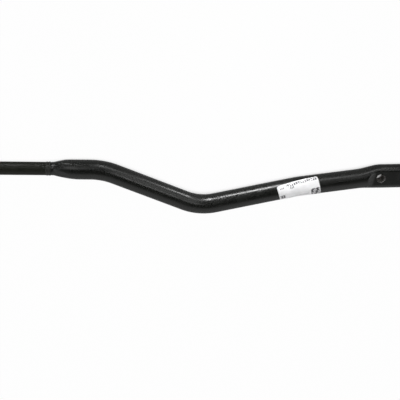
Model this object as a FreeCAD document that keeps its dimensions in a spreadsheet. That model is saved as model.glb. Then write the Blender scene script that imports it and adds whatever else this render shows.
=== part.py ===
import FreeCAD, Part
import math
import os

import Sketcher
from FreeCAD import Placement, Rotation, Vector

# Thrust rod: a bent round tube. One end is swaged down to a neck that carries a thinner round bar,
# and the other end is pressed flat between two dies and drilled for a cross pin. A paper label is
# wrapped round the tube between the second bend and the flat.
#
# Everything is built from the tip of the neck: X runs along the bar's axis, from the bar into the
# tube, the bends lie in the XY plane, and the cross pin's axis is along Z. Each piece is then placed
# so that the centre of the pin's hole is the part's origin. Lengths are millimetres, angles degrees.

SIZES = {
    "bar_diameter": (18, "thin round bar"),
    "bar_length": (94, "bar, from the tip of the neck to its free end"),
    "bar_end_chamfer": (1.5, "chamfer on the bar's free end"),
    "spigot_length": (6, "turned spigot of the bar, past the tip of the neck"),
    "spigot_clearance": (0.1, "spigot to the neck's bore, on the radius"),
    "weld_root": (2, "gap between bar and neck at the bottom of the weld"),
    "weld_bevel": (2.25, "length of the bevel on each side of the weld"),
    "weld_bead_radius": (8, "crown of each of the weld's two beads"),
    "tube_diameter": (27, "outside of the tube"),
    "tube_wall": (3, "wall of the tube"),
    "neck_tip_diameter": (18.2, "outside of the neck at its tip"),
    "neck_lead": (6, "straight stretch of the neck at its tip"),
    "neck_cone_length": (15, "swaged cone, from the lead to the ridge"),
    "neck_ridge_diameter": (24.8, "outside of the cone at the ridge"),
    "neck_swell_length": (21, "swell, from the ridge to the full tube"),
    "neck_offset": (1, "bar axis beside the tube axis"),
    "run_1": (12.7, "straight tube from the neck to bend 1"),
    "bend_1_angle": (21.8, "bend 1, towards -Y"),
    "bend_1_radius": (90, "bend 1, on the tube's axis"),
    "run_2": (103.1, "straight tube from bend 1 to bend 2"),
    "bend_2_angle": (34.5, "bend 2, towards +Y"),
    "bend_2_radius": (72, "bend 2, on the tube's axis"),
    "run_3": (113.3, "straight tube from bend 2 to bend 3"),
    "bend_3_angle": (4.4, "bend 3, towards -Y"),
    "bend_3_radius": (90, "bend 3, on the tube's axis"),
    "run_4": (81.6, "straight tube from bend 3 to the pressed end"),
    "spread_length": (34, "stretch over which the round tube widens to the flat"),
    "spread_turn": (8, "last part of that stretch, over which the axis turns"),
    "spread_angle": (6.6, "turn of the axis there, towards -Y"),
    "flat_length": (54, "flat end, from full width to the sawn edge"),
    "flat_width": (34, "flat end across"),
    "flat_shoulder": (26, "height of the flat end's oval before the dies close on it"),
    "flat_thickness": (19.5, "flat end between its two pressed faces"),
    "press_start": (24, "start of the pressed faces, from the end of the round tube"),
    "press_radius": (14, "rounded edge of the pressing dies"),
    "press_skew": (16, "rounded edge of the dies askew to the tube"),
    "hole_setback": (32, "cross hole, from the end of the round tube"),
    "hole_diameter": (13, "cross hole"),
    "hole_chamfer": (0.8, "deburred rim of the cross hole"),
    "label_length": (58, "label, along the tube"),
    "label_height": (40, "label, round the tube"),
    "label_corner": (3, "rounded corners of the label"),
    "label_thickness": (0.15, "paper of the label"),
    "label_glue": (0.05, "glue under the label"),
    "label_shift": (1.8, "centre of the label past the middle of bend 3"),
    "label_turn": (24.4, "centre of the label from the top of the tube, towards -Y"),
    "label_skew": (6.7, "label askew to the tube"),
}

# Fractions of a stretch at which the sections of its loft stand.
SWELL_STATIONS = (0.25, 0.5, 0.75, 1)
SPREAD_STATIONS = (0.2, 0.4, 0.6, 0.8, 1)

# Steps of a smooth curve through a rounded corner of the label.
CORNER_STEPS = 4

doc = FreeCAD.newDocument("thrust_rod")
sheet = doc.addObject("Spreadsheet::Sheet", "Sizes")
for row, (alias, (number, meaning)) in enumerate(SIZES.items(), start=1):
    sheet.set(f"A{row}", meaning)
    sheet.set(f"B{row}", str(number))
    sheet.setAlias(f"B{row}", alias)
doc.recompute()


class Length:
    """A dimension as a number and as the sheet expression that gives it."""

    def __init__(self, number, text):
        self.number = number
        self.text = text

    def __add__(self, other):
        return Length(self.number + other.number, f"({self.text} + {other.text})")

    def __sub__(self, other):
        return Length(self.number - other.number, f"({self.text} - {other.text})")

    def __neg__(self):
        return Length(-self.number, f"(0 - {self.text})")

    def __mul__(self, factor):
        return Length(self.number * factor, f"({self.text} * {factor})")

    def __truediv__(self, divisor):
        return Length(self.number / divisor, f"({self.text} / {divisor})")


def size(alias):
    return Length(float(getattr(sheet, alias)), f"Sizes.{alias}")


def amount(alias):
    return size(alias).number


ZERO = Length(0, "0")
BORE = size("neck_tip_diameter") / 2 - size("tube_wall")
SPIGOT = BORE - size("spigot_clearance")
RIDGE_AT = size("neck_lead") + size("neck_cone_length")
TUBE_AT = RIDGE_AT + size("neck_swell_length")


# The tube's axis, from the end of the neck to the sawn edge of the flat.
# Each stretch: kind, length or radius, angle, and its sense (+1 turns towards +Y).

ROUTE = (
    ("run", "run_1", None, 0),
    ("bend", "bend_1_radius", "bend_1_angle", -1),
    ("run", "run_2", None, 0),
    ("bend", "bend_2_radius", "bend_2_angle", 1),
    ("run", "run_3", None, 0),
    ("bend", "bend_3_radius", "bend_3_angle", -1),
    ("run", "run_4", None, 0),
)


def advance(point, heading, distance, curvature):
    """Point and heading after a distance along a straight run or an arc."""
    if curvature == 0:
        return point + Vector(math.cos(heading), math.sin(heading), 0) * distance, heading
    later = heading + distance * curvature
    across = Vector(math.sin(later) - math.sin(heading), math.cos(heading) - math.cos(later), 0)
    return point + across / curvature, later


def stretches():
    """Each stretch of the axis as its name, start point, start heading, length and curvature."""
    plain = []
    for kind, name, angle, sense in ROUTE:
        if kind == "run":
            plain.append((name, amount(name), 0.0))
        else:
            plain.append((name, amount(name) * math.radians(amount(angle)), sense / amount(name)))
    turn = amount("spread_turn")
    plain.append(("spread_length", amount("spread_length") - turn, 0.0))
    plain.append(("spread_turn", turn, -math.radians(amount("spread_angle")) / turn))
    plain.append(("flat_length", amount("flat_length"), 0.0))

    found = []
    point, heading = Vector(TUBE_AT.number, -amount("neck_offset"), 0), 0.0
    for name, length, curvature in plain:
        found.append((name, point, heading, length, curvature))
        point, heading = advance(point, heading, length, curvature)
    return found


def axis_at(name, distance):
    """Point and heading at a distance into a stretch, which may run on into its neighbours."""
    found = stretches()
    index = [stretch[0] for stretch in found].index(name)
    while distance < 0 and index > 0:
        index -= 1
        distance += found[index][3]
    while distance > found[index][3] and index < len(found) - 1:
        distance -= found[index][3]
        index += 1
    _, point, heading, _, curvature = found[index]
    return advance(point, heading, distance, curvature)


# Bodies and sketches.

def new_body(label):
    body = doc.addObject("PartDesign::Body", label)
    body.Label = label
    return body


def new_sketch(body, name, role, at=None):
    """Sketch on an origin plane of its body, moved with the plane to a point and heading."""
    plane = next(item for item in body.Origin.OriginFeatures if item.Role == role)
    sketch = body.newObject("Sketcher::SketchObject", name)
    sketch.AttachmentSupport = [(plane, "")]
    sketch.MapMode = "FlatFace"
    if at is not None:
        doc.recompute()
        point, heading = at
        base = sketch.Placement
        moved = Placement(point, Rotation(Vector(0, 0, 1), math.degrees(heading)))
        sketch.AttachmentOffset = base.inverse().multiply(moved).multiply(base)
    return sketch


def bind(sketch, constraint, expression):
    """Adds a dimension and ties it to the sheet."""
    index = sketch.addConstraint(constraint)
    name = f"size_{index}"
    sketch.renameConstraint(index, name)
    sketch.setExpression(f"Constraints.{name}", expression)


def pin(sketch, edge, end, across, up):
    """Holds one end of an edge, or a circle's centre, at its place in the sketch."""
    bind(sketch, Sketcher.Constraint("DistanceX", -1, 1, edge, end, across.number), across.text)
    bind(sketch, Sketcher.Constraint("DistanceY", -1, 1, edge, end, up.number), up.text)


def join(sketch, first, first_end, second, second_end):
    sketch.addConstraint(Sketcher.Constraint("Coincident", first, first_end, second, second_end))


def draw_chain(sketch, corners, closed=True):
    """Straight edges through pinned corners, joined end to end. Returns their numbers."""
    points = [Vector(across.number, up.number, 0) for across, up in corners]
    ends = list(zip(points, points[1:]))
    if closed:
        ends.append((points[-1], points[0]))
    edges = [sketch.addGeometry(Part.LineSegment(start, end)) for start, end in ends]
    for edge, following in zip(edges, edges[1:]):
        join(sketch, edge, 2, following, 1)
    if closed:
        join(sketch, edges[-1], 2, edges[0], 1)
    for edge, (across, up) in zip(edges, corners):
        pin(sketch, edge, 1, across, up)
    if not closed:
        pin(sketch, edges[-1], 2, *corners[-1])
    return edges


def draw_circle(sketch, radius, across=ZERO):
    number = sketch.addGeometry(Part.Circle(Vector(across.number, 0, 0), Vector(0, 0, 1), radius.number))
    bind(sketch, Sketcher.Constraint("Radius", number, radius.number), radius.text)
    pin(sketch, number, 3, across, ZERO)


def draw_oval(sketch, half_width, half_height):
    """Ellipse about the sketch's origin, wider than it is high."""
    ends = (Vector(half_width.number, 0, 0), Vector(0, half_height.number, 0), Vector(0, 0, 0))
    number = sketch.addGeometry(Part.Ellipse(*ends))
    sketch.exposeInternalGeometry(number)
    long_axis, short_axis = number + 1, number + 2
    join(sketch, number, 3, -1, 1)
    sketch.addConstraint(Sketcher.Constraint("Horizontal", long_axis))
    for axis, half in ((long_axis, half_width), (short_axis, half_height)):
        whole = half * 2
        bind(sketch, Sketcher.Constraint("Distance", axis, whole.number), whole.text)


# Features.

def pull(body, kind, name, sketch, length):
    """Pad or pocket along the sketch's own normal."""
    feature = body.newObject(kind, name)
    feature.Profile = sketch
    feature.setExpression("Length", length.text)
    doc.recompute()
    return feature


def revolve(body, kind, name, sketch, axis="H_Axis"):
    feature = body.newObject(kind, name)
    feature.Profile = sketch
    feature.ReferenceAxis = (sketch, [axis])
    feature.Angle = 360
    doc.recompute()
    return feature


def cut_through(body, name, sketch, length):
    """Pocket to both sides of its sketch, which has to take some material away."""
    before = body.Shape.Volume
    feature = pull(body, "PartDesign::Pocket", name, sketch, length)
    feature.Midplane = True
    doc.recompute()
    check_cut(body, name, before)


def check_cut(body, name, before):
    if not body.Shape.Volume < before:
        raise RuntimeError(f"{name} cuts nothing from {body.Label}")


# The bar with its spigot.

def make_end_bar():
    body = new_body("end_bar")
    free_end, root, tip = -size("bar_length"), -size("weld_root"), size("spigot_length")
    radius, chamfer = size("bar_diameter") / 2, size("bar_end_chamfer")
    sketch = new_sketch(body, "bar_profile", "XY_Plane")
    draw_chain(sketch, [
        (free_end, ZERO),
        (free_end, radius - chamfer),
        (free_end + chamfer, radius),
        (root - size("weld_bevel"), radius),
        (root, SPIGOT),
        (tip, SPIGOT),
        (tip, ZERO),
    ])
    revolve(body, "PartDesign::Revolution", "bar_turned", sketch)
    return body


# The weld that fills the V between the bar and the neck, laid in two beads.

def make_neck_weld():
    body = new_body("neck_weld")
    root, bevel = -size("weld_root"), size("weld_bevel")
    bar_side = (root - bevel, size("bar_diameter") / 2)
    neck_side = (bevel, size("neck_tip_diameter") / 2)
    middle = ((bar_side[0] + neck_side[0]) / 2, (bar_side[1] + neck_side[1]) / 2)
    sketch = new_sketch(body, "weld_profile", "XY_Plane")
    sides = draw_chain(
        sketch, [bar_side, (root, SPIGOT), (ZERO, SPIGOT), (ZERO, BORE), neck_side], closed=False)

    crown = size("weld_bead_radius")
    beads = []
    for start, end in ((neck_side, middle), (middle, bar_side)):
        start, end = [Vector(across.number, up.number, 0) for across, up in (start, end)]
        half = (start - end).Length / 2
        rise = crown.number - math.sqrt(crown.number ** 2 - half ** 2)
        top = (start + end) / 2 + Vector(0, rise, 0)
        beads.append(sketch.addGeometry(Part.Arc(start, top, end)))
    right, left = beads
    join(sketch, sides[-1], 2, right, 1)
    join(sketch, right, 2, left, 1)
    join(sketch, left, 2, sides[0], 1)
    pin(sketch, right, 2, *middle)
    for bead in beads:
        bind(sketch, Sketcher.Constraint("Radius", bead, crown.number), crown.text)
    revolve(body, "PartDesign::Revolution", "weld_turned", sketch)
    return body


# The main tube: the same form is built twice, once as the outside and once, a wall's depth
# further in, as the bore that is cut from it.

def swell(fraction):
    """Share of the swell reached: steep at the ridge, level with the tube at its end."""
    return 1 - (1 - fraction) ** 2


def ease(fraction):
    """Share of a change reached at a fraction of its stretch, flat at both ends."""
    return fraction * fraction * (3 - 2 * fraction)


def blend(start, end, share):
    return start + (end - start) * share


def add_loft(body, name, sections):
    feature = body.newObject("PartDesign::AdditiveLoft", name)
    feature.Profile = sections[0]
    feature.Sections = sections[1:]
    doc.recompute()


def add_neck(body, depth, bevel):
    """Straight lead, swaged cone, and the swell that takes it over to the tube's own axis."""
    tip = size("neck_tip_diameter") / 2 - depth
    ridge = size("neck_ridge_diameter") / 2 - depth
    corners = [(ZERO, ZERO), (ZERO, BORE), *bevel, (size("neck_lead"), tip)]
    corners += [(RIDGE_AT, ridge), (RIDGE_AT, ZERO)]
    sketch = new_sketch(body, "neck_profile", "XY_Plane")
    draw_chain(sketch, corners)
    revolve(body, "PartDesign::Revolution", "neck_turned", sketch)

    full, shift = size("tube_diameter") / 2 - depth, -size("neck_offset")
    sections = []
    for fraction in (0, *SWELL_STATIONS):
        along = blend(RIDGE_AT, TUBE_AT, fraction)
        circle = new_sketch(body, "neck_section", "YZ_Plane", (Vector(along.number, 0, 0), 0))
        circle.setExpression("AttachmentOffset.Base.z", along.text)
        share = swell(fraction)
        draw_circle(circle, blend(ridge, full, share), shift * share)
        sections.append(circle)
    add_loft(body, "neck_swell", sections)
    return sections[-1]


def draw_route(body):
    """Axis of the bent tube: straight runs joined by tangent arcs."""
    sketch = new_sketch(body, "tube_route", "XY_Plane")
    edges = []
    for (kind, *_), (_, point, heading, length, curvature) in zip(ROUTE, stretches()):
        end, _ = advance(point, heading, length, curvature)
        if kind == "run":
            edges.append(sketch.addGeometry(Part.LineSegment(point, end)))
        else:
            half, _ = advance(point, heading, length / 2, curvature)
            edges.append(sketch.addGeometry(Part.Arc(point, half, end)))
    pin(sketch, edges[0], 1, TUBE_AT, -size("neck_offset"))
    sketch.addConstraint(Sketcher.Constraint("Horizontal", edges[0]))
    # A sketch keeps every arc anticlockwise, so one that turns towards -Y has its two ends swapped.
    ends = [(2, 1) if sense < 0 else (1, 2) for *_, sense in ROUTE]
    for index in range(len(edges) - 1):
        tangent = (edges[index], ends[index][1], edges[index + 1], ends[index + 1][0])
        sketch.addConstraint(Sketcher.Constraint("Tangent", *tangent))
    for index, (kind, name, angle, sense) in enumerate(ROUTE):
        main = size(name)
        if kind == "run":
            bind(sketch, Sketcher.Constraint("Distance", edges[index], main.number), main.text)
            continue
        bind(sketch, Sketcher.Constraint("Radius", edges[index], main.number), main.text)
        runs = (edges[index - 1], edges[index + 1])
        first, second = runs if sense > 0 else reversed(runs)
        turn = Sketcher.Constraint("Angle", first, second, math.radians(amount(angle)))
        bind(sketch, turn, f"{size(angle).text} * 1 deg")
    return sketch


def add_flat(body, depth):
    """Widens the round tube to an oval and closes two dies with rounded edges on it."""
    full = size("tube_diameter") / 2 - depth
    wide, high = size("flat_width") / 2 - depth, size("flat_shoulder") / 2 - depth
    sections = [new_sketch(body, "spread_section", "YZ_Plane", axis_at("spread_length", 0))]
    draw_circle(sections[0], full)
    for fraction in SPREAD_STATIONS:
        place = axis_at("spread_length", fraction * amount("spread_length"))
        oval = new_sketch(body, "spread_section", "YZ_Plane", place)
        share = ease(fraction)
        draw_oval(oval, blend(full, wide, share), blend(full, high, share))
        sections.append(oval)
    add_loft(body, "tube_widened", sections)
    pull(body, "PartDesign::Pad", "flat_end", sections[-1], size("flat_length"))

    point, heading = axis_at("flat_length", 0)
    askew = heading - math.radians(amount("press_skew"))
    sketch = new_sketch(body, "press_dies", "XZ_Plane", (point, askew))
    radius = size("press_radius") + depth
    start, end = size("press_start") - size("spread_length"), size("flat_length") * 2
    for side in (1, -1):
        low = (size("flat_thickness") / 2 - depth) * side
        top = low + radius * side
        corners = [(start, low), (end, low), (end, top), (start - radius, top)]
        sides = draw_chain(sketch, corners, closed=False)
        reach = radius.number * math.cos(math.pi / 4)
        arc = sketch.addGeometry(Part.Arc(
            Vector(corners[-1][0].number, top.number, 0),
            Vector(start.number - reach, top.number - side * reach, 0),
            Vector(start.number, low.number, 0)))
        far, near = (1, 2) if side > 0 else (2, 1)
        join(sketch, sides[-1], 2, arc, far)
        join(sketch, arc, near, sides[0], 1)
        bind(sketch, Sketcher.Constraint("Radius", arc, radius.number), radius.text)
    cut_through(body, "flat_pressed", sketch, size("flat_width") * 2)


def add_form(body, depth, bevel):
    """The whole form of the tube, at a depth below its outside."""
    start = add_neck(body, depth, bevel)
    pipe = body.newObject("PartDesign::AdditivePipe", "tube_bent")
    pipe.Profile = start
    pipe.Spine = (draw_route(body), [])
    doc.recompute()
    add_flat(body, depth)


def drill_hole(body):
    """Cross hole through both walls of the flat, with deburred rims."""
    place = axis_at("spread_length", amount("hole_setback"))
    radius, chamfer = size("hole_diameter") / 2, size("hole_chamfer")
    sketch = new_sketch(body, "cross_hole", "XY_Plane", place)
    draw_circle(sketch, radius)
    cut_through(body, "hole_drilled", sketch, size("flat_thickness") * 2)

    rims = new_sketch(body, "hole_rims", "XZ_Plane", place)
    for side in (1, -1):
        face = size("flat_thickness") / 2 * side
        inside = face - chamfer * side
        draw_chain(rims, [(ZERO, face), (radius + chamfer, face), (radius, inside), (ZERO, inside)])
    before = body.Shape.Volume
    revolve(body, "PartDesign::Groove", "hole_deburred", rims, "V_Axis")
    check_cut(body, "hole_deburred", before)


def make_main_tube():
    bore = new_body("tube_bore")
    add_form(bore, size("tube_wall"), [])
    body = new_body("main_tube")
    add_form(body, ZERO, [(size("weld_bevel"), size("neck_tip_diameter") / 2)])
    before = body.Shape.Volume
    hollow = body.newObject("PartDesign::Boolean", "tube_bored")
    hollow.Type = "Cut"
    hollow.setObjects([bore])
    doc.recompute()
    check_cut(body, "tube_bored", before)
    drill_hole(body)
    return body


# The paper label: it lies on the straight tube before bend 3, on the bend, and on the straight
# tube after it. Places on it are (across, up), in millimetres from its centre.

def label_spot(name, place):
    """Surface coordinates of a place on the label, on the skin round one stretch of the tube.

    The angle grows from the top of the tube towards +Y. A cylinder counts it back from its seam on
    the underside, and the bend's torus from the side that looks away from the bend's centre.
    """
    across, up = place
    skew = math.radians(amount("label_skew"))
    along = across * math.cos(skew) - up * math.sin(skew)
    around = across * math.sin(skew) + up * math.cos(skew)
    bend = amount("bend_3_radius") * math.radians(amount("bend_3_angle"))
    beyond = bend / 2 + amount("label_shift") + along
    angle = 2 * around / amount("tube_diameter") - math.radians(amount("label_turn"))
    if name == "bend_3_radius":
        return FreeCAD.Base.Vector2d(beyond / amount(name), angle + math.pi + math.pi / 2)
    start = -amount("run_3") if name == "run_3" else bend
    return FreeCAD.Base.Vector2d(math.pi - angle, beyond - start)


def skin_surface(name, radius):
    """Cylinder or torus at one radius round a stretch's axis, its seam on the underside."""
    _, point, heading, _, curvature = next(item for item in stretches() if item[0] == name)
    forward = Vector(math.cos(heading), math.sin(heading), 0)
    sideways = Vector(-math.sin(heading), math.cos(heading), 0)
    down = Vector(0, 0, -1)
    if curvature == 0:
        surface = Part.Cylinder()
        surface.Radius = radius
        frame = Rotation(down, sideways, forward, "ZXY")
        origin = point
    else:
        surface = Part.Toroid()
        surface.MajorRadius = -1 / curvature
        surface.MinorRadius = radius
        frame = Rotation(sideways, forward, down, "ZXY")
        origin = point + sideways / curvature
    surface.transform(Placement(origin, frame).toMatrix())
    return surface


def label_end(sign, far_cut, near_cut):
    """Free edges round one end of the label, between the cuts across its two long sides."""
    corner = amount("label_corner")
    length, height = amount("label_length") / 2, amount("label_height") / 2
    centres = [(corner - length, height - corner), (corner - length, corner - height)]
    arcs = []
    for quarter, (across, up) in enumerate(centres, start=1):
        steps = range(CORNER_STEPS + 1)
        turns = [(quarter + step / CORNER_STEPS) * math.pi / 2 for step in steps]
        arc = [(across + corner * math.cos(turn), up + corner * math.sin(turn)) for turn in turns]
        arcs.append([(sign * x, sign * y) for x, y in arc])
    first, second = arcs
    return [[far_cut, first[0]], first, [first[-1], second[0]], second, [second[-1], near_cut]]


def label_patches():
    """Name of each stretch under the label, the free edges on it, and the cuts that close them."""
    skew = math.radians(amount("label_skew"))
    half = amount("bend_3_radius") * math.radians(amount("bend_3_angle")) / 2
    height = amount("label_height") / 2
    cuts = []
    for along in (-half - amount("label_shift"), half - amount("label_shift")):
        cut = [((along + up * math.sin(skew)) / math.cos(skew), up) for up in (height, -height)]
        cuts.append(cut)
    (high_1, low_1), (high_2, low_2) = cuts
    return [
        ("run_3", label_end(1, high_1, low_1), [[low_1, high_1]]),
        ("bend_3_radius", [[high_2, high_1], [low_1, low_2]], [[high_1, low_1], [low_2, high_2]]),
        ("run_4", label_end(-1, low_2, high_2), [[high_2, low_2]]),
    ]


def label_edge(name, surface, places):
    """Edge through places on the label: straight between two, a smooth curve through more."""
    spots = [label_spot(name, place) for place in places]
    if len(spots) == 2:
        return Part.Geom2d.Line2dSegment(*spots).toShape(surface)
    curve = Part.Geom2d.BSplineCurve2d()
    curve.interpolate(spots)
    return curve.toShape(surface)


def make_paper_label():
    """Thin sheet wrapped on the tube, with square-cut sides."""
    inner = amount("tube_diameter") / 2 + amount("label_glue")
    skins, rims = [], []
    for radius in (inner, inner + amount("label_thickness")):
        rim = []
        for name, free, cuts in label_patches():
            surface = skin_surface(name, radius)
            sides = [label_edge(name, surface, places) for places in free]
            closing = [label_edge(name, surface, places) for places in cuts]
            face = Part.Face(surface, Part.Wire(Part.__sortEdges__(sides + closing)))
            face.validate()
            skins.append(face)
            rim += sides
        rims.append(rim)
    sides = [Part.makeRuledSurface(low, high) for low, high in zip(*rims)]
    shell = Part.makeShell(skins + sides)
    shell.sewShape()
    solid = Part.makeSolid(Part.Shell(shell.Faces))
    if solid.Volume < 0:
        solid.reverse()
    feature = doc.addObject("Part::Feature", "paper_label")
    feature.Label = "paper_label"
    feature.Shape = solid
    return feature


pieces = [make_end_bar(), make_neck_weld(), make_main_tube(), make_paper_label()]
hole_centre, _ = axis_at("spread_length", amount("hole_setback"))
for piece in pieces:
    piece.Placement = Placement(-hole_centre, Rotation())
doc.recompute()

for item in doc.Objects:
    for trouble in ("Invalid", "Error"):
        if trouble in item.State:
            raise RuntimeError(f"{item.Name} is {trouble}")
for piece in pieces:
    if piece.Shape.isNull() or not piece.Shape.isValid() or piece.Shape.Volume <= 0:
        raise RuntimeError(f"{piece.Label} has no valid shape")

os.makedirs("parts", exist_ok=True)
for piece in pieces:
    piece.Shape.exportStep(f"parts/{piece.Label}.step")
    box = piece.Shape.BoundBox
    corners = (box.XMin, box.YMin, box.ZMin, box.XMax, box.YMax, box.ZMax)
    print(piece.Label, round(piece.Shape.Volume, 1), [round(corner, 2) for corner in corners])
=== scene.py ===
import math
import random

import bmesh
import bpy
from mathutils import Matrix, Vector, noise


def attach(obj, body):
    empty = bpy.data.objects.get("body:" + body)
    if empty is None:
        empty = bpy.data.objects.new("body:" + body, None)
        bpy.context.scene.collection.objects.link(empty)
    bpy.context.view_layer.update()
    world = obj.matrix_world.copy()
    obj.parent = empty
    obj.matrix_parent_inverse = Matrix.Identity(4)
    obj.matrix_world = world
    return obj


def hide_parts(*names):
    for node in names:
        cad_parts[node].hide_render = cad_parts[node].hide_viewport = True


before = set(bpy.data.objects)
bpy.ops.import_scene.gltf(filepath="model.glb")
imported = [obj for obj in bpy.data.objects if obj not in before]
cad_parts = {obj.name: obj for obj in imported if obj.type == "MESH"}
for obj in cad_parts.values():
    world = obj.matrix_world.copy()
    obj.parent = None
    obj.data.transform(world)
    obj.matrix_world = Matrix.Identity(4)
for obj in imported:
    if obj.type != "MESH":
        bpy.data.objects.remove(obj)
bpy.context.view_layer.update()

# Thrust rod: a bent, painted tube. A thin bar is welded into its swaged neck, the other end is
# pressed flat and drilled, and a printed paper label is stuck round it. Everything is in metres,
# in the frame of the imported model: the origin is the centre of the cross hole, X runs along the
# bar, and the bends lie in the XY plane.

bl_info = {
    "name": "Thrust Rod",
    "version": (1, 0, 0),
    "blender": (4, 5, 0),
    "location": "3D View > Sidebar > Thrust Rod",
    "description": "Builds a painted thrust rod with its weld, its pressed end and its label",
    "category": "Add Mesh",
}

MM = 0.001


# Properties.

def linear(hex_colour):
    """Scene-linear red, green and blue of an sRGB hex colour."""
    parts = [int(hex_colour[place:place + 2], 16) / 255 for place in (1, 3, 5)]
    return [part / 12.92 if part <= 0.04045 else ((part + 0.055) / 1.055) ** 2.4 for part in parts]


def length(label, description, millimetres):
    return bpy.props.FloatProperty(
        name=label, description=description, default=millimetres * MM,
        precision=5, subtype="DISTANCE", unit="LENGTH")


def angle(label, description, degrees):
    return bpy.props.FloatProperty(
        name=label, description=description, default=math.radians(degrees),
        subtype="ANGLE", unit="ROTATION")


def colour(label, description, hex_colour):
    return bpy.props.FloatVectorProperty(
        name=label, description=description, default=linear(hex_colour),
        size=3, min=0, max=1, subtype="COLOR")


def power(label, description, watts):
    return bpy.props.FloatProperty(
        name=label, description=description, default=watts, min=0, unit="POWER")


class RodTubeSizes(bpy.types.PropertyGroup):
    """Sizes and paint of the bent tube."""
    diameter: length("Diameter", "Outside of the tube", 27)
    wall: length("Wall", "Wall of the tube", 3)
    tip_diameter: length("Neck Tip", "Outside of the neck at its tip", 18.2)
    bevel: length("Weld Bevel", "Bevel at the tip of the neck", 2.25)
    lead: length("Neck Lead", "Straight stretch of the neck at its tip", 6)
    cone: length("Neck Cone", "Swaged cone, from the lead to the ridge", 15)
    ridge_diameter: length("Ridge", "Outside of the cone at the ridge", 24.8)
    swell: length("Neck Swell", "Swell, from the ridge to the full tube", 21)
    offset: length("Neck Offset", "Bar axis beside the tube axis", 1)
    undercut: length("Undercut", "Groove that the welding burnt beside the bead", 0.35)
    dies: bpy.props.IntProperty(
        name="Dies", description="Flats that the dies leave round the cone", default=6)
    die_turn: angle("Die Turn", "Middle of the first flat, from +Y towards +Z", -12)
    die_depth: bpy.props.FloatProperty(
        name="Die Depth", description="Share of the cone's radius that the flats take off",
        default=0.03)
    die_edge: length("Die Edge", "Roundness of the edges between two flats", 0.15)
    bulge: bpy.props.FloatProperty(
        name="Bulge", description="Share by which the cone swells out half way", default=0.03)
    run_1: length("Run 1", "Straight tube from the neck to bend 1", 12.7)
    bend_1_radius: length("Bend 1 Radius", "Bend 1, on the tube's axis", 90)
    bend_1: angle("Bend 1", "Turn of bend 1, towards -Y", 21.8)
    run_2: length("Run 2", "Straight tube from bend 1 to bend 2", 103.1)
    bend_2_radius: length("Bend 2 Radius", "Bend 2, on the tube's axis", 72)
    bend_2: angle("Bend 2", "Turn of bend 2, towards +Y", 34.5)
    run_3: length("Run 3", "Straight tube from bend 2 to bend 3", 113.3)
    bend_3_radius: length("Bend 3 Radius", "Bend 3, on the tube's axis", 90)
    bend_3: angle("Bend 3", "Turn of bend 3, towards -Y", 4.4)
    run_4: length("Run 4", "Straight tube from bend 3 to the pressed end", 81.6)
    spread: length("Spread", "Stretch over which the tube widens", 34)
    spread_bend: length("Spread Bend", "Last part of the spread, where the axis turns", 8)
    spread_turn: angle("Spread Turn", "Turn of the axis there, towards -Y", 6.6)
    flat: length("Flat Length", "Flat end, from full width to the sawn edge", 54)
    flat_width: length("Flat Width", "Flat end across", 34)
    shoulder: length("Shoulder", "Height of the oval before the dies close", 26)
    thickness: length("Flat Thickness", "Flat end between its pressed faces", 19.5)
    press_start: length("Press Start", "Start of the pressed faces", 24)
    press_radius: length("Die Radius", "Rounded edge of the pressing dies", 14)
    press_skew: angle("Press Skew", "Edge of the dies askew to the tube", 16)
    press_crease: length("Crease", "Roundness of the creases beside the faces", 1.2)
    hole_setback: length("Hole Setback", "Cross hole, from the end of the round tube", 32)
    hole_diameter: length("Hole", "Cross hole", 13)
    hole_chamfer: length("Hole Rim", "Deburred rim of the cross hole", 0.8)
    film: length("Film", "Enamel built up in the cross hole", 0.35)
    saw_break: length("Sawn Edge", "Edge broken after sawing", 0.4)
    paint: colour("Paint", "Black enamel of the tube", "#0d0e0c")
    steel: colour("Bare Steel", "Inside of the tube and of the cross hole", "#cfcdca")


class RodBarSizes(bpy.types.PropertyGroup):
    """Sizes and paint of the thin bar."""
    diameter: length("Diameter", "Thin round bar", 18)
    reach: length("Length", "From the tip of the neck to the free end", 94)
    chamfer: length("End Chamfer", "Chamfer on the free end", 1.5)
    root: length("Weld Root", "Gap to the neck at the bottom of the weld", 2)
    bevel: length("Weld Bevel", "Bevel for the weld", 2.25)
    spigot: length("Spigot", "Turned spigot past the tip of the neck", 6)
    spigot_radius: length("Spigot Radius", "Radius of the spigot", 6)
    paint: colour("Paint", "Black enamel of the bar", "#141510")


class RodWeldSizes(bpy.types.PropertyGroup):
    """Sizes of the weld's two beads and of its spatter."""
    crown: length("Crown", "Height of each bead over the bar", 0.42)
    ripple: length("Ripple", "Height of the ripples", 0.16)
    ripple_pitch: length("Ripple Pitch", "Distance between two ripples", 2.1)
    spatter: bpy.props.IntProperty(
        name="Spatter", description="Drops of spatter under the paint", default=9, min=0)


class RodLabelSizes(bpy.types.PropertyGroup):
    """Sizes and colours of the paper label."""
    across: length("Length", "Label, along the tube", 58)
    height: length("Height", "Label, round the tube", 40)
    corner: length("Corner", "Rounded corners", 3)
    glue: length("Glue", "Glue under the label", 0.05)
    thickness: length("Paper", "Thickness of the paper", 0.15)
    shift: length("Shift", "Centre past the middle of bend 3", 1.8)
    turn: angle("Turn", "Centre from the top of the tube, towards -Y", 24.4)
    skew: angle("Skew", "Label askew to the tube", 6.7)
    paper: colour("Paper Colour", "Coated white paper", "#e4e4e5")
    ink: colour("Ink Colour", "Thermal print", "#2e2d30")


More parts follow.
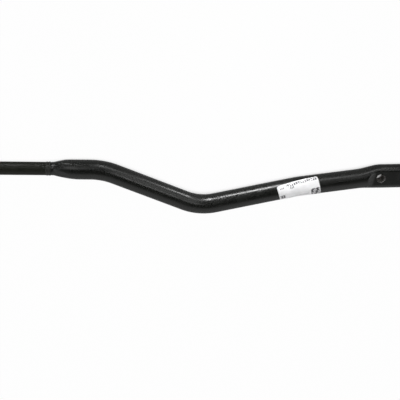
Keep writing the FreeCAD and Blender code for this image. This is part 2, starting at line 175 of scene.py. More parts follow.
class RodStageSettings(bpy.types.PropertyGroup):
    """Floor, lamps and camera."""
    floor: colour("Floor", "Pale floor", "#b4b4b4")
    key: power("Key Strip", "Low strip lamp that streaks the run after bend 2", 0.19)
    side: power("Side Strip", "Low strip lamp that streaks the run before bend 2", 0.09)
    bar: power("Bar Strip", "Low strip lamp that lights the far side of the bar", 0.033)
    window: power("Window", "Soft lamp beside the flat end", 2)
    panel: power("Panel", "Soft lamp over the far side", 1.9)
    neck: power("Neck Lamp", "Lamp overhead that lights the top of the neck", 0.27)
    run: power("Run Lamp", "Lamp overhead that lights the top of the run before bend 2", 0.035)
    ends: power("End Lamps", "Soft lamp beyond each end of the rod", 6)
    lens: bpy.props.FloatProperty(name="Lens", description="Focal length", default=72, unit="CAMERA")


# Axis of the tube.

def advance(point, heading, distance, curvature):
    """Point and heading after a distance along a straight run or an arc."""
    if curvature == 0:
        return point + Vector((math.cos(heading), math.sin(heading), 0)) * distance, heading
    later = heading + distance * curvature
    across = Vector((math.sin(later) - math.sin(heading), math.cos(heading) - math.cos(later), 0))
    return point + across / curvature, later


def stretches(tube):
    """Each stretch of the axis as its name, start point, start heading, length and curvature."""
    plain = [
        ("run_1", tube.run_1, 0),
        ("bend_1", tube.bend_1 * tube.bend_1_radius, -1 / tube.bend_1_radius),
        ("run_2", tube.run_2, 0),
        ("bend_2", tube.bend_2 * tube.bend_2_radius, 1 / tube.bend_2_radius),
        ("run_3", tube.run_3, 0),
        ("bend_3", tube.bend_3 * tube.bend_3_radius, -1 / tube.bend_3_radius),
        ("run_4", tube.run_4, 0),
        ("spread", tube.spread - tube.spread_bend, 0),
        ("spread_bend", tube.spread_bend, -tube.spread_turn / tube.spread_bend),
        ("flat", tube.flat, 0),
    ]
    neck = tube.lead + tube.cone + tube.swell
    found = []
    point, heading = Vector((neck, -tube.offset, 0)), 0.0
    for name, reach, curvature in plain:
        found.append((name, point, heading, reach, curvature))
        point, heading = advance(point, heading, reach, curvature)
    return found


def axis_at(tube, name, distance):
    """Point and heading at a distance into a stretch, which may run on into its neighbours."""
    found = stretches(tube)
    index = [stretch[0] for stretch in found].index(name)
    while distance < 0 and index > 0:
        index -= 1
        distance += found[index][3]
    while distance > found[index][3] and index < len(found) - 1:
        distance -= found[index][3]
        index += 1
    _, point, heading, _, curvature = found[index]
    return advance(point, heading, distance, curvature)


def hole_place(tube):
    """Centre of the cross hole and the heading there, from the tip of the neck."""
    return axis_at(tube, "spread", tube.hole_setback)


# Meshes.

def new_piece(name, mesh):
    """Object that rides on the rod's only body."""
    piece = bpy.data.objects.new(name, mesh)
    bpy.context.scene.collection.objects.link(piece)
    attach(piece, "root")
    return piece


def rings_mesh(name, rings, closed_ends=False, looped=False):
    """Mesh with a strip of faces between each ring of points and the next."""
    builder = bmesh.new()
    made = [[builder.verts.new(point) for point in ring] for ring in rings]
    pairs = list(zip(made, made[1:]))
    if looped:
        pairs.append((made[-1], made[0]))
    for near, far in pairs:
        count = len(near)
        for index in range(count):
            following = (index + 1) % count
            builder.faces.new((near[index], near[following], far[following], far[index]))
    if closed_ends:
        builder.faces.new(reversed(made[0]))
        builder.faces.new(made[-1])
    bmesh.ops.recalc_face_normals(builder, faces=builder.faces)
    mesh = bpy.data.meshes.new(name)
    builder.to_mesh(mesh)
    builder.free()
    mesh.shade_smooth()
    return mesh


def turned(profile, around, centre):
    """Rings about an axis along X through a centre, from (along, radius) pairs."""
    rings = []
    for along, radius in profile:
        turns = [2 * math.pi * step / around for step in range(around)]
        rings.append([
            centre + Vector((along, radius * math.cos(turn), radius * math.sin(turn)))
            for turn in turns])
    return rings


def swell(fraction):
    """Share of the swell reached: steep at the ridge, level with the tube at its end."""
    return 1 - (1 - fraction) ** 2


def ease(fraction):
    """Share of a change reached at a fraction of its stretch, flat at both ends."""
    return fraction * fraction * (3 - 2 * fraction)


def blend(start, end, share):
    return start + (end - start) * share


def soft_limit(value, limit, roundness):
    """The smaller of two heights, with a rounded corner where they cross."""
    overlap = max(roundness - abs(value - limit), 0) / roundness
    return min(value, limit) - overlap * overlap * roundness / 4


AROUND = 128


def section(point, heading, half_width, half_height, press=None):
    """Ring of points of an oval across the axis, pressed down if a press is given."""
    sideways = Vector((-math.sin(heading), math.cos(heading), 0))
    ring = []
    for step in range(AROUND):
        turn = 2 * math.pi * step / AROUND
        aside, rise = half_width * math.cos(turn), half_height * math.sin(turn)
        if press:
            rise = math.copysign(press(aside, abs(rise)), rise)
        ring.append(point + sideways * aside + Vector((0, 0, rise)))
    return ring


def die_height(tube, distance, aside, depth):
    """Height of the rounded dies over the axis, at a distance from the end of the round tube."""
    radius = tube.press_radius + depth
    past = (distance - tube.spread) * math.cos(tube.press_skew) - aside * math.sin(tube.press_skew)
    before = tube.press_start - tube.spread - past
    low = tube.thickness / 2 - depth
    if before <= 0:
        return low
    if before >= radius:
        return None
    return low + radius - math.sqrt(radius ** 2 - before ** 2)


def steps(start, end, pitch):
    """Even distances from start to end, about a pitch apart, both ends included."""
    count = max(1, math.ceil(abs(end - start) / pitch - 0.001))
    return [blend(start, end, step / count) for step in range(count + 1)]


# Share of the radius by which the flats lie outside the round lead, and the stretch over which
# they come in.
DIE_CLEAR = 0.02
DIE_RUN_IN = 2 * MM


def swaged(tube, centre, along, radius):
    """Ring of the cone with the flats that the swaging dies leave, which run out past the ridge."""
    slope = (tube.ridge_diameter - tube.tip_diameter) / 2 / tube.cone
    round_radius = tube.tip_diameter / 2 + slope * (along - tube.lead)
    depth = blend(-DIE_CLEAR, tube.die_depth, min((along - tube.lead) / DIE_RUN_IN, 1))
    pitch = 2 * math.pi / tube.dies
    ring = []
    for step in range(AROUND):
        turn = 2 * math.pi * step / AROUND
        aside = (turn - tube.die_turn + pitch / 2) % pitch - pitch / 2
        reach = soft_limit(radius, round_radius * (1 - depth) / math.cos(aside), tube.die_edge)
        ring.append(centre + Vector((0, reach * math.cos(turn), reach * math.sin(turn))))
    return ring


# Distance between two rings of points: over the neck, and over each kind of stretch of the body.
NECK_PITCH = 0.6 * MM
PITCHES = {"run": 5 * MM, "bend": 2 * MM, "spread": 0.6 * MM, "flat": 1.5 * MM}

# Groove beside the weld: distance from the bead, and share of the groove's depth.
UNDERCUT = ((0, 0), (0.3 * MM, 1), (0.7 * MM, 1), (1.1 * MM, 0))


def lead_profile(tube, depth):
    """Distance along the straight lead and the radius there, from the tip of the neck."""
    tip = tube.tip_diameter / 2 - depth
    if depth == 0:
        profile = [(tube.bevel + past, tip - tube.undercut * share) for past, share in UNDERCUT]
        return profile + [(tube.lead, tip)]
    return [(along, tip) for along in steps(0, tube.lead, MM)]


def neck_rings(tube, depth):
    """Lead, cone and swell of the neck, from its bevelled tip to the full tube."""
    tip, ridge = tube.tip_diameter / 2 - depth, tube.ridge_diameter / 2 - depth
    full = tube.diameter / 2 - depth
    ridge_at = tube.lead + tube.cone
    rings = []
    for along, radius in lead_profile(tube, depth):
        rings.append(section(Vector((along, 0, 0)), 0, radius, radius))
    for along in steps(tube.lead, ridge_at, NECK_PITCH)[1:]:
        share = (along - tube.lead) / tube.cone
        radius = blend(tip, ridge, share)
        place = Vector((along, 0, 0))
        if depth == 0:
            bulged = radius * (1 + tube.bulge * math.sin(math.pi * share))
            rings.append(swaged(tube, place, along, bulged))
        else:
            rings.append(section(place, 0, radius, radius))
    for along in steps(0, tube.swell, NECK_PITCH)[1:]:
        share = swell(along / tube.swell)
        radius = blend(ridge, full, share)
        centre = Vector((ridge_at + along, -tube.offset * share, 0))
        if depth == 0 and along < tube.swell / 2:
            rings.append(swaged(tube, centre, ridge_at + along, radius))
        else:
            rings.append(section(centre, 0, radius, radius))
    return rings


def body_rings(tube, depth):
    """Rings from the end of the neck to the sawn edge."""
    full = tube.diameter / 2 - depth
    wide, high = tube.flat_width / 2 - depth, tube.shoulder / 2 - depth
    coarse = 1 if depth == 0 else 3
    rings = []
    for name, point, heading, reach, curvature in stretches(tube):
        pitch = PITCHES[name.split("_")[0]] * coarse
        for distance in steps(0, reach, pitch)[1:]:
            place, turned_to = advance(point, heading, distance, curvature)
            if name.startswith("spread"):
                beyond = distance + (tube.spread - tube.spread_bend if name == "spread_bend" else 0)
                share = ease(beyond / tube.spread)
            elif name == "flat":
                share = 1
                beyond = tube.spread + distance
            else:
                rings.append(section(place, turned_to, full, full))
                continue
            half_width, half_height = blend(full, wide, share), blend(full, high, share)

            def press(aside, rise):
                die = die_height(tube, beyond, aside, depth)
                return rise if die is None else soft_limit(rise, die, tube.press_crease)

            rings.append(section(place, turned_to, half_width, half_height, press))
    return rings


def shrunk(ring, towards, amount):
    """The ring drawn in by an amount towards a point."""
    return [point + (towards - point).normalized() * amount for point in ring]


def cut(body, tool):
    """Mesh of a body with a closed tool cut out of it."""
    objects = []
    for name, mesh in (("body", body), ("tool", tool)):
        item = bpy.data.objects.new(name, mesh)
        bpy.context.scene.collection.objects.link(item)
        objects.append(item)
    modifier = objects[0].modifiers.new("cut", "BOOLEAN")
    modifier.operation = "DIFFERENCE"
    modifier.solver = "EXACT"
    modifier.object = objects[1]
    graph = bpy.context.evaluated_depsgraph_get()
    result = bpy.data.meshes.new_from_object(objects[0].evaluated_get(graph), depsgraph=graph)
    for item in objects:
        mesh = item.data
        bpy.data.objects.remove(item)
        bpy.data.meshes.remove(mesh)
    return result


HOLE_AROUND = 96
HOLE_PAST = 3 * MM


def hole_tool(tube):
    """Drill for the cross hole, flared at both faces to deburr its rims."""
    radius, chamfer = tube.hole_diameter / 2 - tube.film, tube.hole_chamfer
    face, past = tube.thickness / 2, HOLE_PAST
    half = [(radius, face - chamfer), (radius + chamfer + past, face + past)]
    profile = [(radius, -height) for radius, height in reversed(half)]
    profile += half
    rings = []
    turns = [2 * math.pi * step / HOLE_AROUND for step in range(HOLE_AROUND)]
    for reach, height in profile:
        rings.append([
            Vector((reach * math.cos(turn), reach * math.sin(turn), height)) for turn in turns])
    return rings_mesh("drill", rings, closed_ends=True)


# Materials.

def add(tree, kind, inputs=None, **settings):
    """Adds a node, sets it up, and links or sets each of its inputs."""
    node = tree.nodes.new(kind)
    for name, value in settings.items():
        setattr(node, name, value)
    for name, value in (inputs or {}).items():
        if isinstance(value, bpy.types.NodeSocket):
            tree.links.new(value, node.inputs[name])
        else:
            node.inputs[name].default_value = value
    return node


def new_material(name):
    """Empty node material and its tree."""
    material = bpy.data.materials.new(name)
    material.use_nodes = True
    material.node_tree.nodes.clear()
    return material, material.node_tree


def finish_material(tree, shader):
    add(tree, "ShaderNodeOutputMaterial", {"Surface": shader.outputs["BSDF"]})


def ramp(tree, factor, stops, **settings):
    """Colour ramp through (position, grey or colour) stops."""
    node = add(tree, "ShaderNodeValToRGB", {"Fac": factor}, **settings)
    elements = node.color_ramp.elements
    while len(elements) < len(stops):
        elements.new(1)
    for element, (position, shade) in zip(elements, stops):
        element.position = position
        element.color = (*shade, 1) if len(shade) == 3 else (shade[0], shade[0], shade[0], 1)
    return node


def black_enamel(name, base, rough_low, rough_high, gloss_level=0.3):
    """Sprayed and stoved black enamel over steel.

    Its gloss is satin, so lamps show as a soft-edged streak. Sprayed paint flows out into orange
    peel about 2 mm across, and dust under it shows as nibs of about 0.4 mm.
    """
    material, tree = new_material(name)
    place = add(tree, "ShaderNodeTexCoord").outputs["Object"]
    clouds = add(tree, "ShaderNodeTexNoise", {"Vector": place, "Scale": 70, "Detail": 4})
    peel = add(tree, "ShaderNodeTexNoise", {"Vector": place, "Scale": 500, "Detail": 1})
    nibs = add(tree, "ShaderNodeTexVoronoi", {"Vector": place, "Scale": 420})
    lighter = [min(part * 1.5, 1) for part in base]
    shades = ramp(tree, clouds.outputs["Fac"], [(0.35, tuple(base)), (0.8, tuple(lighter))])
    gloss = add(tree, "ShaderNodeMapRange", {
        "Value": clouds.outputs["Fac"], "From Min": 0.3, "From Max": 0.7,
        "To Min": rough_low, "To Max": rough_high})
    dots = ramp(tree, nibs.outputs["Distance"], [(0.0, (1.0,)), (0.16, (0.0,))])
    fine = add(tree, "ShaderNodeBump", {
        "Height": peel.outputs["Fac"], "Strength": 0.15, "Distance": 0.05 * MM})
    bumps = add(tree, "ShaderNodeBump", {
        "Height": dots.outputs["Color"], "Strength": 0.5, "Distance": 0.08 * MM,
        "Normal": fine.outputs["Normal"]})
    shader = add(tree, "ShaderNodeBsdfPrincipled", {
        "Base Color": shades.outputs["Color"], "Roughness": gloss.outputs["Result"],
        "Normal": bumps.outputs["Normal"], "IOR": 1.5, "Specular IOR Level": gloss_level})
    finish_material(tree, shader)
    return material


def bare_steel(base):
    """Bare drawn steel inside the tube and the drilled hole, dulled by oil and handling.

    It is blotchy and satin, and lighter than the enamel round it.
    """
    material, tree = new_material("bare_drawn_steel")
    place = add(tree, "ShaderNodeTexCoord").outputs["Object"]
    blotches = add(tree, "ShaderNodeTexNoise", {"Vector": place, "Scale": 300, "Detail": 4})
    darker = tuple(part * 0.75 for part in base)
    shades = ramp(tree, blotches.outputs["Fac"], [(0.35, darker), (0.65, tuple(base))])
    gloss = add(tree, "ShaderNodeMapRange", {
        "Value": blotches.outputs["Fac"], "To Min": 0.5, "To Max": 0.7})
    bumps = add(tree, "ShaderNodeBump", {
        "Height": blotches.outputs["Fac"], "Strength": 0.3, "Distance": 0.1 * MM})
    shader = add(tree, "ShaderNodeBsdfPrincipled", {
        "Base Color": shades.outputs["Color"], "Metallic": 1.0,
        "Roughness": gloss.outputs["Result"], "Normal": bumps.outputs["Normal"]})
    finish_material(tree, shader)
    return material


def coated_paper(base):
    """Coated white label paper, glued on.

    It is matt, with faint fibres about 0.5 mm apart under the coating.
    """
    material, tree = new_material("coated_label_paper")
    place = add(tree, "ShaderNodeTexCoord").outputs["Object"]
    fibres = add(tree, "ShaderNodeTexNoise", {"Vector": place, "Scale": 1800, "Detail": 3})
    soil = add(tree, "ShaderNodeTexNoise", {"Vector": place, "Scale": 90, "Detail": 3})
    darker = tuple(part * 0.9 for part in base)
    shades = ramp(tree, soil.outputs["Fac"], [(0.3, darker), (0.6, tuple(base))])
    gloss = add(tree, "ShaderNodeMapRange", {
        "Value": fibres.outputs["Fac"], "To Min": 0.5, "To Max": 0.65})
    bumps = add(tree, "ShaderNodeBump", {
        "Height": fibres.outputs["Fac"], "Strength": 0.15, "Distance": 0.03 * MM})
    shader = add(tree, "ShaderNodeBsdfPrincipled", {
        "Base Color": shades.outputs["Color"], "Roughness": gloss.outputs["Result"],
        "Normal": bumps.outputs["Normal"], "IOR": 1.5})
    finish_material(tree, shader)
    return material


def thermal_print(base):
    """Dots burnt into the label's coating by a thermal printer.

    They are dark grey rather than black, and uneven where the head pressed lightly.
    """
    material, tree = new_material("thermal_print")
    place = add(tree, "ShaderNodeTexCoord").outputs["Object"]
    pressure = add(tree, "ShaderNodeTexNoise", {"Vector": place, "Scale": 700, "Detail": 2})
    paler = tuple(min(part * 2.6 + 0.05, 1) for part in base)
    shades = ramp(tree, pressure.outputs["Fac"], [(0.35, tuple(base)), (0.75, paler)])
    gloss = add(tree, "ShaderNodeMapRange", {
        "Value": pressure.outputs["Fac"], "To Min": 0.45, "To Max": 0.6})
    bumps = add(tree, "ShaderNodeBump", {
        "Height": pressure.outputs["Fac"], "Strength": 0.1, "Distance": 0.02 * MM})
    shader = add(tree, "ShaderNodeBsdfPrincipled", {
        "Base Color": shades.outputs["Color"], "Roughness": gloss.outputs["Result"],
        "Normal": bumps.outputs["Normal"], "IOR": 1.5})
    finish_material(tree, shader)
    return material


def studio_floor(base):
    """Pale studio floor of matt paper.

    It shows nearly white to the camera. Within 40 mm of the rod, an ambient-occlusion mask takes that
    white away as painted shade, so there the floor shows its own lit shade and the rod's soft shadow.
    Gloss and glass show a share of that white too.
    """
    material, tree = new_material("studio_floor")
    place = add(tree, "ShaderNodeTexCoord").outputs["Object"]
    grain = add(tree, "ShaderNodeTexNoise", {"Vector": place, "Scale": 300, "Detail": 2})
    darker = tuple(part * 0.98 for part in base)
    shades = ramp(tree, grain.outputs["Fac"], [(0.3, darker), (0.7, tuple(base))])
    matt = add(tree, "ShaderNodeBsdfDiffuse", {"Color": shades.outputs["Color"]})
    glow = add(tree, "ShaderNodeEmission", {"Color": WHITE, "Strength": 1.0})
    path = add(tree, "ShaderNodeLightPath")
    mirrored = add(tree, "ShaderNodeMath", {
        0: path.outputs["Is Glossy Ray"], 1: path.outputs["Is Transmission Ray"]}, operation="MAXIMUM")
    # Ambient occlusion as painted shade: it darkens the floor's white next to the rod and under its
    # cross hole.
    painted_shade_occlusion = add(tree, "ShaderNodeAmbientOcclusion", {"Distance": 40 * MM}, samples=16)
    white_share_less_painted_shade = add(tree, "ShaderNodeMapRange", {
        "Value": painted_shade_occlusion.outputs["AO"], "From Min": 0.1, "From Max": 0.45,
        "To Min": 0.2, "To Max": 0.98})
    direct = add(tree, "ShaderNodeMath", {
        0: path.outputs["Is Camera Ray"], 1: white_share_less_painted_shade.outputs["Result"]}, operation="MULTIPLY")
    indirect = add(tree, "ShaderNodeMapRange", {"Value": mirrored.outputs["Value"], "To Max": 0.15})
    share = add(tree, "ShaderNodeMath", {
        0: direct.outputs["Value"], 1: indirect.outputs["Result"]}, operation="MAXIMUM")
    mix = add(tree, "ShaderNodeMixShader", {"Fac": share.outputs["Value"]})
    tree.links.new(matt.outputs["BSDF"], mix.inputs[1])
    tree.links.new(glow.outputs["Emission"], mix.inputs[2])
    add(tree, "ShaderNodeOutputMaterial", {"Surface": mix.outputs["Shader"]})
    return material


# Operators.

class ROD_OT_tube(bpy.types.Operator):
    """Bends, swages, presses and drills the painted tube"""
    bl_idname = "thrust_rod.tube"
    bl_label = "Tube"

    def execute(self, context):
        tube = context.scene.rod_tube
        outer = neck_rings(tube, 0) + body_rings(tube, 0)
        inner = neck_rings(tube, tube.wall) + body_rings(tube, tube.wall)
        end, heading = axis_at(tube, "flat", tube.flat)
        back = Vector((math.cos(heading), math.sin(heading), 0)) * tube.saw_break
        sawn_outer = shrunk(outer[-1], end, tube.saw_break)
        outer[-1] = [point - back for point in outer[-1]]
        bore = tube.tip_diameter / 2 - tube.wall
        mouth = section(Vector((0, 0, 0)), 0, bore, bore)
        rings = [mouth] + outer + [sawn_outer] + list(reversed(inner[1:]))
        mesh = rings_mesh("tube_form", rings, looped=True)
        centre, _ = hole_place(tube)
        mesh.transform(Matrix.Translation(-centre))
        drill = hole_tool(tube)
        enamel = black_enamel("stoved_black_enamel_tube", tube.paint, 0.23, 0.31)
        steel = bare_steel(tube.steel)
        for item in (mesh, drill):
            item.materials.append(enamel)
            item.materials.append(steel)
        inside = (len(outer) + 2) * AROUND
        for face in mesh.polygons[inside:]:
            face.material_index = 1
        for face in drill.polygons:
            face.material_index = int(abs(face.normal.z) < 0.1)
        mesh = cut(mesh, drill)
        if len(mesh.polygons) < len(rings):
            raise RuntimeError("the drilled tube came out empty")
        mesh.shade_smooth()
        mesh.set_sharp_from_angle(angle=math.radians(28))
        piece = new_piece("enamelled_tube", mesh)
        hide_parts("main_tube")
        return {"FINISHED"}


class ROD_OT_bar(bpy.types.Operator):
    """Turns the thin bar with its hidden spigot"""
    bl_idname = "thrust_rod.bar"
    bl_label = "Bar"

    def execute(self, context):
        tube, bar = context.scene.rod_tube, context.scene.rod_bar
        centre, _ = hole_place(tube)
        radius, chamfer = bar.diameter / 2, bar.chamfer
        soft, pitch = 0.3 * MM, 4 * MM
        shoulder = -bar.root - bar.bevel
        profile = [
            (-bar.reach, radius - chamfer - soft),
            (-bar.reach + soft / 2, radius - chamfer),
            (-bar.reach + chamfer, radius - soft / 2),
            (-bar.reach + chamfer + soft, radius),
        ]
        profile += [(along, radius) for along in steps(-bar.reach + pitch, shoulder, pitch)]
        profile += [(-bar.root, bar.spigot_radius), (bar.spigot, bar.spigot_radius)]
        mesh = rings_mesh("bar_form", turned(profile, 96, -centre), closed_ends=True)
        mesh.set_sharp_from_angle(angle=math.radians(28))
        mesh.materials.append(black_enamel("stoved_black_enamel_bar", bar.paint, 0.35, 0.45, 0.12))
        piece = new_piece("enamelled_bar", mesh)
        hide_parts("end_bar")
        return {"FINISHED"}


# Points round a bead and steps across it, and how far its height and its edge wander.
WELD_AROUND = 240
WELD_STEPS = 12
WELD_UNEVEN = 0.08 * MM
WELD_WANDER = 0.12 * MM


class ROD_OT_weld(bpy.types.Operator):
    """Lays the weld in two rippled beads and scatters a little spatter beside it"""
    bl_idname = "thrust_rod.weld"
    bl_label = "Weld"

    def execute(self, context):
        scene = context.scene
        tube, bar, weld = scene.rod_tube, scene.rod_bar, scene.rod_weld
        centre, _ = hole_place(tube)
        around = WELD_AROUND
        left, right = -bar.root - bar.bevel, tube.bevel
        middle = (left + right) / 2
        ripples = round(math.pi * bar.diameter / weld.ripple_pitch)
        rings = [turned([(-bar.root, bar.spigot_radius)], around, -centre)[0]]
        for start, end, phase in ((left, middle, 0.0), (middle, right, 2.1)):
            for step in range(0 if start == left else 1, WELD_STEPS + 1):
                share = step / WELD_STEPS
                along = blend(start, end, share)
                arch = 4 * share * (1 - share)
                ring = []
                for index in range(around):
                    turn = 2 * math.pi * index / around
                    wave = turn * ripples + 1.9 * arch + phase
                    crest = 1 - abs(math.sin(wave / 2))
                    wander = noise.noise(Vector((6 * math.cos(turn), 6 * math.sin(turn), phase)))
                    rise = arch * (weld.crown + weld.ripple * (crest - 0.5) + WELD_UNEVEN * wander)
                    taper = (along - left) / (right - left)
                    radius = blend(bar.diameter, tube.tip_diameter, taper) / 2 + rise
                    shift = WELD_WANDER * wander * (0 if along in (left, right) else 1)
                    spot = (along + shift, radius * math.cos(turn), radius * math.sin(turn))
                    ring.append(Vector(spot) - centre)
                rings.append(ring)
        rings.append(turned([(0, tube.tip_diameter / 2 - tube.wall)], around, -centre)[0])
        rings.append(turned([(0, bar.spigot_radius)], around, -centre)[0])
        mesh = rings_mesh("weld_form", rings, looped=True)
        mesh.set_sharp_from_angle(angle=math.radians(50))
        enamel = black_enamel("stoved_black_enamel_weld", bar.paint, 0.25, 0.35, 0.28)
        mesh.materials.append(enamel)
        piece = new_piece("weld_beads", mesh)
        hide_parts("neck_weld")
        self.scatter(bar, weld, centre, enamel)
        return {"FINISHED"}

    def scatter(self, bar, weld, centre, enamel):
        """Flattened drops of spatter, half sunk in the bar."""
        chance = random.Random(11)
        builder = bmesh.new()
        for _ in range(weld.spatter):
            along = -bar.root - bar.bevel - chance.uniform(2, 16) * MM
            turn = chance.uniform(0.3, 1.1)
            drop = chance.uniform(0.7, 1.3) * MM
            made = bmesh.ops.create_icosphere(builder, subdivisions=3, radius=drop)["verts"]
            seat = bar.diameter / 2 * Vector((0, math.cos(turn), math.sin(turn)))
            outward = seat.normalized()
            for vertex in made:
                lump = 1 + 0.2 * noise.noise(vertex.co / drop + Vector((along / MM, 0, 0)))
                spot = vertex.co * lump
                spot -= outward * spot.dot(outward) * 0.45
                vertex.co = spot + seat + Vector((along, 0, 0)) - centre
        mesh = bpy.data.meshes.new("spatter_form")
        builder.to_mesh(mesh)
        builder.free()
        mesh.shade_smooth()
        mesh.materials.append(enamel)
        new_piece("weld_spatter", mesh)


class ROD_OT_label(bpy.types.Operator):
    """Sticks the printed paper label round bend 3"""
    bl_idname = "thrust_rod.label"
    bl_label = "Label"

    def execute(self, context):
        tube, label = context.scene.rod_tube, context.scene.rod_label
        dot = 0.5 * MM
        columns, rows = round(label.across / dot), round(label.height / dot)
        builder = bmesh.new()
        centre, _ = hole_place(tube)
        grid = []
        for row in range(rows + 1):
            up = label.height * (row / rows - 0.5)
            inward = max(abs(up) - (label.height / 2 - label.corner), 0)
            drawn_in = label.corner - math.sqrt(max(label.corner ** 2 - inward ** 2, 0))
            reach = label.across - 2 * drawn_in
            line = []
            for column in range(columns + 1):
                across = reach * (column / columns - 0.5)
                line.append(builder.verts.new(self.spot(tube, label, across, up) - centre))
            grid.append(line)
        for row in range(rows):
            for column in range(columns):
                face = builder.faces.new((
                    grid[row][column], grid[row][column + 1],
                    grid[row + 1][column + 1], grid[row + 1][column]))
                face.material_index = int(printed(column, row, columns, rows))
        bmesh.ops.recalc_face_normals(builder, faces=builder.faces)
        mesh = bpy.data.meshes.new("label_form")
        builder.to_mesh(mesh)
        builder.free()
        mesh.shade_smooth()
        mesh.materials.append(coated_paper(label.paper))
        mesh.materials.append(thermal_print(label.ink))
        piece = new_piece("printed_label", mesh)
        thick = piece.modifiers.new("paper", "SOLIDIFY")
        thick.thickness = label.thickness
        thick.offset = -1
        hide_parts("paper_label")
        return {"FINISHED"}

    def spot(self, tube, label, across, up):
        """Place on the outside of the paper, from the tip of the neck."""
        along = across * math.cos(label.skew) - up * math.sin(label.skew)
        around = across * math.sin(label.skew) + up * math.cos(label.skew)
        bend = tube.bend_3 * tube.bend_3_radius
        point, heading = axis_at(tube, "bend_3", bend / 2 + label.shift + along)
        turn = 2 * around / tube.diameter - label.turn
        radius = tube.diameter / 2 + label.glue + label.thickness
        sideways = Vector((-math.sin(heading), math.cos(heading), 0))
        return point + sideways * radius * math.sin(turn) + Vector((0, 0, radius * math.cos(turn)))


# Printed areas of the label: left, right, low and high, as shares of its length and its height.
TOP_LINE = (0.23, 0.96, 0.86, 0.955)
SQUARE = (0.77, 0.99, 0.22, 0.58)
FIRST_MARK = (0.05, 0.16, 0.84, 0.90)
SECOND_MARK = (0.30, 0.41, 0.77, 0.84)
SIDE_MARK = (0.02, 0.14, 0.46, 0.62)
RULE = (0.20, 0.74, 0.40, 0.43)


def printed(column, row, columns, rows):
    """Whether a dot of the label is printed: plain bars and blocks in place of its words."""
    across, up = column / columns, row / rows

    def on(area):
        left, right, low, high = area
        return left < across < right and low < up < high

    if on(TOP_LINE):
        return column % 6 < 4 and (column // 6 * 7 + row // 2 * 3) % 5 > 0
    if on(SQUARE):
        return (column // 3 + row // 3) % 2 == 0 or (column // 3 * 5 + row // 3 * 3) % 7 < 3
    if on(FIRST_MARK) or on(SECOND_MARK):
        return column // 2 % 2 == 0
    if on(SIDE_MARK):
        return row // 3 % 2 == 0 or column // 3 % 2 == 0
    return on(RULE) and column % 4 > 1


# Camera: its place and its axes, found from the rod's outline in the photograph.
CAMERA_PLACE = (-0.35848, 0.40890, 1.0139)
CAMERA_RIGHT = (0.99528, 0.04394, 0.0865)
CAMERA_UP = (-0.00528, 0.91477, -0.40394)

# Walls of the room: height of the ray, from the horizon to straight up, and brightness there.
NEAR_WALL = [(0.0, (0.8,)), (0.5, (1.0,)), (0.74, (1.0,)), (0.92, (0.1,))]
FAR_WALL = [(0.0, (0.2,)), (0.4, (0.4,)), (0.58, (0.75,)), (0.88, (0.02,))]
WHITE = (1, 1, 1, 1)


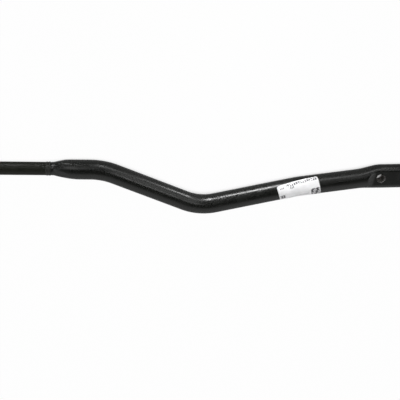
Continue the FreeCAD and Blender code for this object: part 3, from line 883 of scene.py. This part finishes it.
class ROD_OT_stage(bpy.types.Operator):
    """Sets up the pale floor, the soft lamps, the world and the camera"""
    bl_idname = "thrust_rod.stage"
    bl_label = "Stage"

    def execute(self, context):
        scene, stage, tube = context.scene, context.scene.rod_stage, context.scene.rod_tube
        self.lay_floor(scene, stage, tube.diameter / 2)
        self.light_world(scene)
        middle = (-0.25, 0, 0)
        # Each lamp: its place, where it points, its two sides, its power and how wide it shines.
        self.hang_lamp(
            scene, "key_strip", (-0.265, 0.6, 0.15), (-0.18, 0, 0), (0.12, 0.15), stage.key, 40)
        self.hang_lamp(
            scene, "side_strip", (0.205, 0.6, 0.09), middle, (0.07, 0.06), stage.side, 40)
        self.hang_lamp(
            scene, "bar_strip", (-0.6, 0.6, 0.1), (-0.51, 0, 0), (0.1, 0.1), stage.bar, 24)
        self.hang_lamp(scene, "window", (0.1, 1.2, 0.55), middle, (0.5, 0.25), stage.window)
        self.hang_lamp(scene, "panel", (0.47, 1.0, 1.27), middle, (0.5, 0.5), stage.panel)
        self.hang_lamp(
            scene, "neck_lamp", (-0.78, 0.9, 1.2), (-0.5, 0, 0), (0.45, 1.0), stage.neck, 40)
        self.hang_lamp(
            scene, "run_lamp", (0.05, 0.36, 1.2), (-0.37, -0.02, 0), (0.25, 0.3), stage.run, 22)
        self.hang_lamp(scene, "left_lamp", (-1.9, -0.1, 1.3), middle, (1.0, 1.0), stage.ends)
        self.hang_lamp(scene, "right_lamp", (1.4, -0.1, 1.3), middle, (1.0, 1.0), stage.ends)
        self.place_camera(scene, stage)
        scene.view_settings.view_transform = "Standard"
        return {"FINISHED"}

    def lay_floor(self, scene, stage, drop):
        builder = bmesh.new()
        half = 4
        corners = [(-half, -half), (half, -half), (half, half), (-half, half)]
        builder.faces.new([builder.verts.new((across, up, -drop)) for across, up in corners])
        mesh = bpy.data.meshes.new("floor_form")
        builder.to_mesh(mesh)
        builder.free()
        mesh.materials.append(studio_floor(stage.floor))
        floor = bpy.data.objects.new("studio_floor", mesh)
        scene.collection.objects.link(floor)

    def light_world(self, scene):
        """Pale wall behind the camera, dimmer wall on the rod's far side, dark ceiling.

        The camera itself sees plain white past the floor.
        """
        world = bpy.data.worlds.new("studio_room")
        world.use_nodes = True
        tree = world.node_tree
        tree.nodes.clear()
        ray = add(tree, "ShaderNodeTexCoord").outputs["Generated"]
        parts = add(tree, "ShaderNodeSeparateXYZ", {"Vector": ray})
        near = ramp(tree, parts.outputs["Z"], NEAR_WALL)
        far = ramp(tree, parts.outputs["Z"], FAR_WALL)
        side = add(tree, "ShaderNodeMapRange", {
            "Value": parts.outputs["Y"], "From Min": -0.15, "From Max": 0.15})
        walls = add(tree, "ShaderNodeMix", {
            "Factor": side.outputs["Result"], 6: near.outputs["Color"], 7: far.outputs["Color"]},
            data_type="RGBA")
        path = add(tree, "ShaderNodeLightPath")
        seen = add(tree, "ShaderNodeMix", {
            "Factor": path.outputs["Is Camera Ray"], 6: walls.outputs[2], 7: WHITE},
            data_type="RGBA")
        room = add(tree, "ShaderNodeBackground", {"Color": seen.outputs[2], "Strength": 1.0})
        add(tree, "ShaderNodeOutputWorld", {"Surface": room.outputs["Background"]})
        scene.world = world

    def hang_lamp(self, scene, name, place, target, size, watts, spread=180):
        light = bpy.data.lights.new(name, "AREA")
        light.shape = "RECTANGLE"
        light.size, light.size_y = size
        light.energy = watts
        light.spread = math.radians(spread)
        lamp = bpy.data.objects.new(name, light)
        lamp.location = place
        aim = Vector(target) - Vector(place)
        lamp.rotation_euler = aim.to_track_quat("-Z", "Y").to_euler()
        scene.collection.objects.link(lamp)

    def place_camera(self, scene, stage):
        data = bpy.data.cameras.new("camera")
        data.lens = stage.lens
        data.sensor_width = 36
        camera = bpy.data.objects.new("camera", data)
        right, up = Vector(CAMERA_RIGHT), Vector(CAMERA_UP)
        turn = Matrix((right, up, right.cross(up))).transposed().to_4x4()
        camera.matrix_world = Matrix.Translation(CAMERA_PLACE) @ turn
        scene.collection.objects.link(camera)
        scene.camera = camera


class ROD_PT_panel(bpy.types.Panel):
    """Lists the rod's sizes, colours and pieces"""
    bl_idname = "ROD_PT_panel"
    bl_label = "Thrust Rod"
    bl_space_type = "VIEW_3D"
    bl_region_type = "UI"
    bl_category = "Thrust Rod"

    def draw(self, context):
        for name, group, operator in STEPS:
            box = self.layout.box()
            box.operator(operator.bl_idname)
            settings = getattr(context.scene, name)
            for key in group.__annotations__:
                box.prop(settings, key)


STEPS = (
    ("rod_tube", RodTubeSizes, ROD_OT_tube),
    ("rod_bar", RodBarSizes, ROD_OT_bar),
    ("rod_weld", RodWeldSizes, ROD_OT_weld),
    ("rod_label", RodLabelSizes, ROD_OT_label),
    ("rod_stage", RodStageSettings, ROD_OT_stage),
)


def register():
    for name, group, operator in STEPS:
        bpy.utils.register_class(group)
        bpy.utils.register_class(operator)
        setattr(bpy.types.Scene, name, bpy.props.PointerProperty(type=group))
    bpy.utils.register_class(ROD_PT_panel)


def unregister():
    bpy.utils.unregister_class(ROD_PT_panel)
    for name, group, operator in reversed(STEPS):
        delattr(bpy.types.Scene, name)
        bpy.utils.unregister_class(operator)
        bpy.utils.unregister_class(group)


def main():
    register()
    bpy.ops.thrust_rod.tube()
    bpy.ops.thrust_rod.bar()
    bpy.ops.thrust_rod.weld()
    bpy.ops.thrust_rod.label()
    bpy.ops.thrust_rod.stage()


if __name__ == "__main__":
    main()
